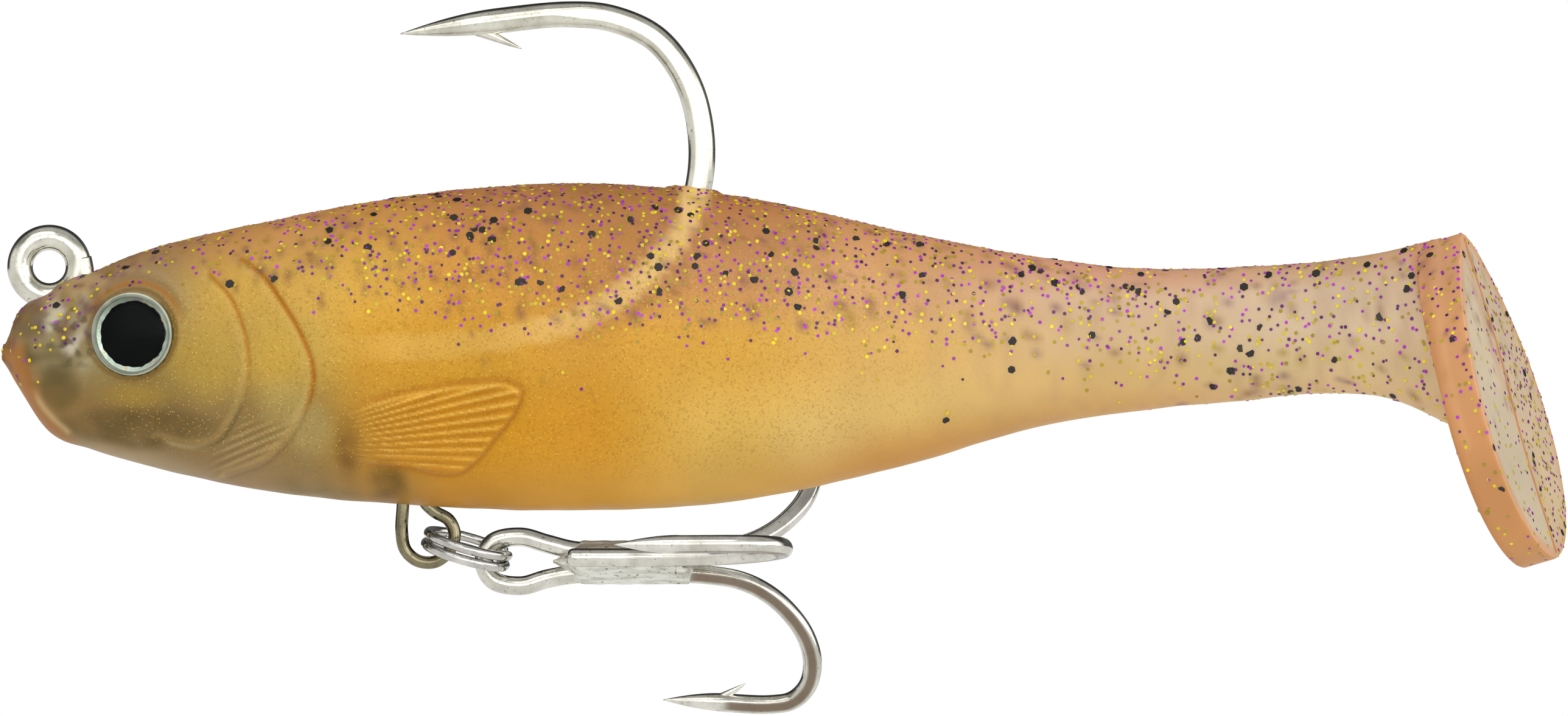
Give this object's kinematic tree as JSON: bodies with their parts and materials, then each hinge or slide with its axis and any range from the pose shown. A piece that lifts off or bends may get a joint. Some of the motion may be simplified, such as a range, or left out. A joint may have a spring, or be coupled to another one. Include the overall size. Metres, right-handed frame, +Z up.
{
  "type": "paddle tail swimbait",
  "caption": "Soft paddle-tail swimbait fishing lure: fish body over a lead head weight, a jig hook out of the back and a treble hook on a split ring under the belly.",
  "frame": {"origin": "centre of the line-tie eye's bore", "axes": "+X from the nose to the tail, +Z up to the hook point, -Y to the fish's left side; the bore of the line tie runs along Y"},
  "size_m": [0.1277, 0.0249, 0.0586],
  "materials": {
    "back_pour": "gloss",
    "belly_pour": "gloss",
    "lead": "satin",
    "tinned_hook": "gloss",
    "tarnished_wire": "satin",
    "ring_steel": "gloss",
    "braze": "satin",
    "eye_foil": "gloss",
    "eye_pupil": "gloss",
    "eye_dome": "polished"
  },
  "bodies": {
    "root": {"back_layer": "back_pour", "belly_layer": "belly_pour", "head_weight": "lead", "jig_hook": "tinned_hook", "belly_hanger": "tarnished_wire", "left_eye_foil": "eye_foil", "left_eye_pupil": "eye_pupil", "left_eye_dome": "eye_dome", "right_eye_foil": "eye_foil", "right_eye_pupil": "eye_pupil", "right_eye_dome": "eye_dome"},
    "ring": {"split_ring": "ring_steel"},
    "treble": {"treble_double_hook": "tinned_hook", "treble_single_hook": "tinned_hook", "treble_braze": "braze"},
    "tail": {"tail_back_layer": "back_pour", "tail_belly_layer": "belly_pour"}
  },
  "joints": [
    {"name": "ring_swing", "type": "hinge", "parent": "root", "child": "ring", "pos_m": [0.03105, 0, -0.02224], "axis": [0, 1, 0], "range_deg": [-1, 75]},
    {"name": "treble_swing", "type": "hinge", "parent": "ring", "child": "treble", "pos_m": [0.03754, 0, -0.0241], "axis": [0, 1, 0], "range_deg": [-1, 75]},
    {"name": "tail_kick", "type": "hinge", "parent": "root", "child": "tail", "pos_m": [0.09352, 0, 0], "axis": [0, 0, 1], "range_deg": [-15, 55], "stiffness_Nm_per_rad": 0.0012}
  ]
}
